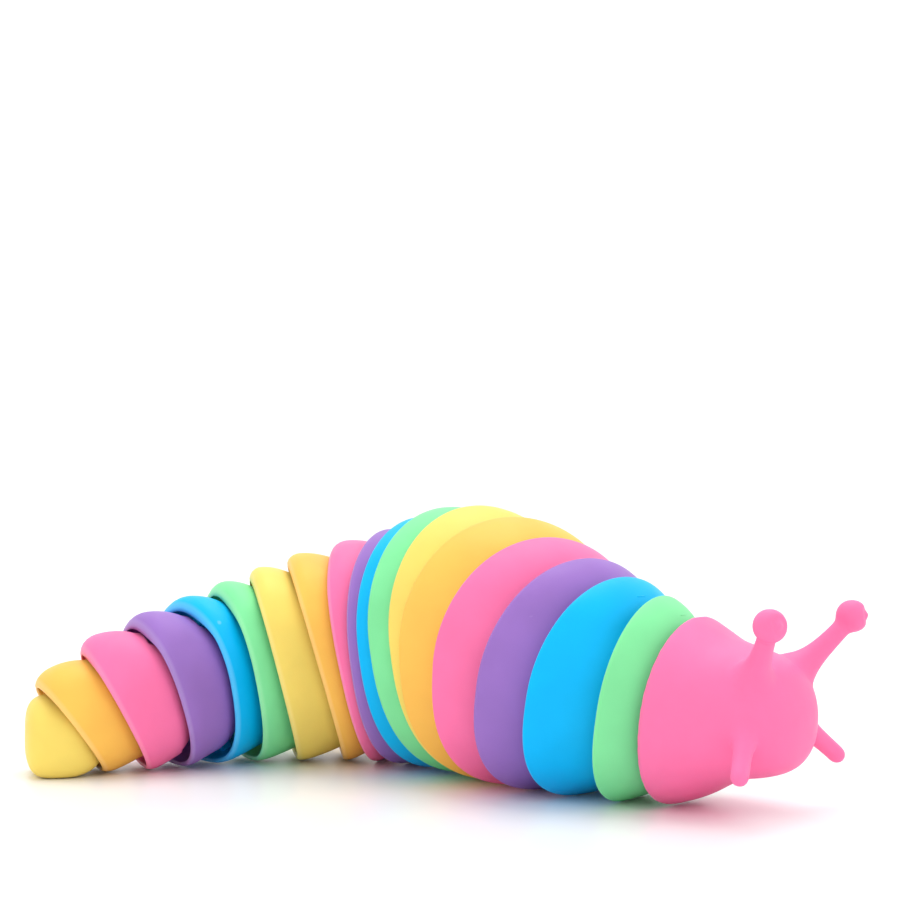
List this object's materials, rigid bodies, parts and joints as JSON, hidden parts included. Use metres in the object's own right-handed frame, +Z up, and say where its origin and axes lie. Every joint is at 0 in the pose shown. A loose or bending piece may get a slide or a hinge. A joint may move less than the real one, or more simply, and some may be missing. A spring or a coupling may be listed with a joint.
{
  "type": "articulated fidget slug",
  "caption": "desk fidget toy shaped like a slug: a rainbow row of nested thin plastic shells that snap together on pins, with a head that has eye stalks and feelers",
  "frame": {"origin": "centre of the footprint of the bounding box, on the table the slug rests on", "axes": "+Z up; +X towards the head's end of the curved body, the longest extent; +Y to the slug's far side, the hollow of its bend"},
  "size_m": [0.1421, 0.0985, 0.0471],
  "materials": {
    "head": "satin moulded soft plastic, slightly waxy",
    "shell_02_green": "satin moulded soft plastic, slightly waxy",
    "shell_03_blue": "satin moulded soft plastic, slightly waxy",
    "shell_04_purple": "satin moulded soft plastic, slightly waxy",
    "shell_05_pink": "satin moulded soft plastic, slightly waxy",
    "shell_06_orange": "satin moulded soft plastic, slightly waxy",
    "shell_07_yellow": "satin moulded soft plastic, slightly waxy",
    "shell_08_green": "satin moulded soft plastic, slightly waxy",
    "shell_09_blue": "satin moulded soft plastic, slightly waxy",
    "shell_10_purple": "satin moulded soft plastic, slightly waxy",
    "shell_11_pink": "satin moulded soft plastic, slightly waxy",
    "shell_12_orange": "satin moulded soft plastic, slightly waxy",
    "shell_13_yellow": "satin moulded soft plastic, slightly waxy",
    "shell_14_green": "satin moulded soft plastic, slightly waxy",
    "shell_15_blue": "satin moulded soft plastic, slightly waxy",
    "shell_16_purple": "satin moulded soft plastic, slightly waxy",
    "shell_17_pink": "satin moulded soft plastic, slightly waxy",
    "shell_18_orange": "satin moulded soft plastic, slightly waxy",
    "tail_tip": "satin moulded soft plastic, slightly waxy"
  },
  "bodies": {
    "head": {"head": "head"},
    "shell_02_green": {"shell_02_green": "shell_02_green"},
    "shell_03_blue": {"shell_03_blue": "shell_03_blue"},
    "shell_04_purple": {"shell_04_purple": "shell_04_purple"},
    "shell_05_pink": {"shell_05_pink": "shell_05_pink"},
    "shell_06_orange": {"shell_06_orange": "shell_06_orange"},
    "shell_07_yellow": {"shell_07_yellow": "shell_07_yellow"},
    "shell_08_green": {"shell_08_green": "shell_08_green"},
    "shell_09_blue": {"shell_09_blue": "shell_09_blue"},
    "shell_10_purple": {"shell_10_purple": "shell_10_purple"},
    "shell_11_pink": {"shell_11_pink": "shell_11_pink"},
    "shell_12_orange": {"shell_12_orange": "shell_12_orange"},
    "shell_13_yellow": {"shell_13_yellow": "shell_13_yellow"},
    "shell_14_green": {"shell_14_green": "shell_14_green"},
    "shell_15_blue": {"shell_15_blue": "shell_15_blue"},
    "shell_16_purple": {"shell_16_purple": "shell_16_purple"},
    "shell_17_pink": {"shell_17_pink": "shell_17_pink"},
    "shell_18_orange": {"shell_18_orange": "shell_18_orange"},
    "tail_tip": {"tail_tip": "tail_tip"}
  },
  "joints": [
    {"name": "hinge_07_08", "type": "hinge", "parent": "shell_07_yellow", "child": "shell_08_green", "pos_m": [0.00968, 0.01559, 0.01], "axis": [0, 0, 1], "range_deg": [-18.2, 8.2]},
    {"name": "hinge_08_09", "type": "hinge", "parent": "shell_08_green", "child": "shell_09_blue", "pos_m": [0.00446, 0.02139, 0.01], "axis": [0, 0, 1], "range_deg": [-24.8, 0.8]},
    {"name": "hinge_09_10", "type": "hinge", "parent": "shell_09_blue", "child": "shell_10_purple", "pos_m": [-0.00185, 0.02598, 0.01], "axis": [0, 0, 1], "range_deg": [-29.1, 0.1]},
    {"name": "hinge_10_11", "type": "hinge", "parent": "shell_10_purple", "child": "shell_11_pink", "pos_m": [-0.0091, 0.02883, 0.01], "axis": [0, 0, 1], "range_deg": [-30.1, 0.5]},
    {"name": "hinge_11_12", "type": "hinge", "parent": "shell_11_pink", "child": "shell_12_orange", "pos_m": [-0.01685, 0.02975, 0.01], "axis": [0, 0, 1], "range_deg": [-28.3, 2.3]},
    {"name": "hinge_12_13", "type": "hinge", "parent": "shell_12_orange", "child": "shell_13_yellow", "pos_m": [-0.0246, 0.02889, 0.01], "axis": [0, 0, 1], "range_deg": [-17.8, 12.8]},
    {"name": "hinge_13_14", "type": "hinge", "parent": "shell_13_yellow", "child": "shell_14_green", "pos_m": [-0.03231, 0.0277, 0.01], "axis": [0, 0, 1], "range_deg": [-30.1, 0.5]},
    {"name": "hinge_14_15", "type": "hinge", "parent": "shell_14_green", "child": "shell_15_blue", "pos_m": [-0.03946, 0.02457, 0.01], "axis": [0, 0, 1], "range_deg": [-30.1, 0.5]},
    {"name": "hinge_15_16", "type": "hinge", "parent": "shell_15_blue", "child": "shell_16_purple", "pos_m": [-0.04557, 0.01973, 0.01], "axis": [0, 0, 1], "range_deg": [-7.8, 22.8]},
    {"name": "hinge_16_17", "type": "hinge", "parent": "shell_16_purple", "child": "shell_17_pink", "pos_m": [-0.05226, 0.01572, 0.01], "axis": [0, 0, 1], "range_deg": [-4.3, 26.3]},
    {"name": "hinge_17_18", "type": "hinge", "parent": "shell_17_pink", "child": "shell_18_orange", "pos_m": [-0.0596, 0.01307, 0.01], "axis": [0, 0, 1], "range_deg": [-18.3, 12.3]},
    {"name": "hinge_18_19", "type": "hinge", "parent": "shell_18_orange", "child": "tail_tip", "pos_m": [-0.06678, 0.01003, 0.01], "axis": [0, 0, 1], "range_deg": [-3, 21]},
    {"name": "hinge_06_07", "type": "hinge", "parent": "shell_07_yellow", "child": "shell_06_orange", "pos_m": [0.01438, 0.00937, 0.01], "axis": [0, 0, 1], "range_deg": [-1.4, 24.6]},
    {"name": "hinge_05_06", "type": "hinge", "parent": "shell_06_orange", "child": "shell_05_pink", "pos_m": [0.01772, 0.00232, 0.01], "axis": [0, 0, 1], "range_deg": [-19.5, 3.5]},
    {"name": "hinge_04_05", "type": "hinge", "parent": "shell_05_pink", "child": "shell_04_purple", "pos_m": [0.02202, -0.00419, 0.01], "axis": [0, 0, 1], "range_deg": [-19.4, 4.6]},
    {"name": "hinge_03_04", "type": "hinge", "parent": "shell_04_purple", "child": "shell_03_blue", "pos_m": [0.02711, -0.0101, 0.01], "axis": [0, 0, 1], "range_deg": [-17.1, 7.9]},
    {"name": "hinge_02_03", "type": "hinge", "parent": "shell_03_blue", "child": "shell_02_green", "pos_m": [0.03267, -0.01557, 0.01], "axis": [0, 0, 1], "range_deg": [-26.5, 0.5]},
    {"name": "hinge_01_02", "type": "hinge", "parent": "shell_02_green", "child": "head", "pos_m": [0.03931, -0.01966, 0.01], "axis": [0, 0, 1], "range_deg": [-4.7, 18.3]}
  ]
}
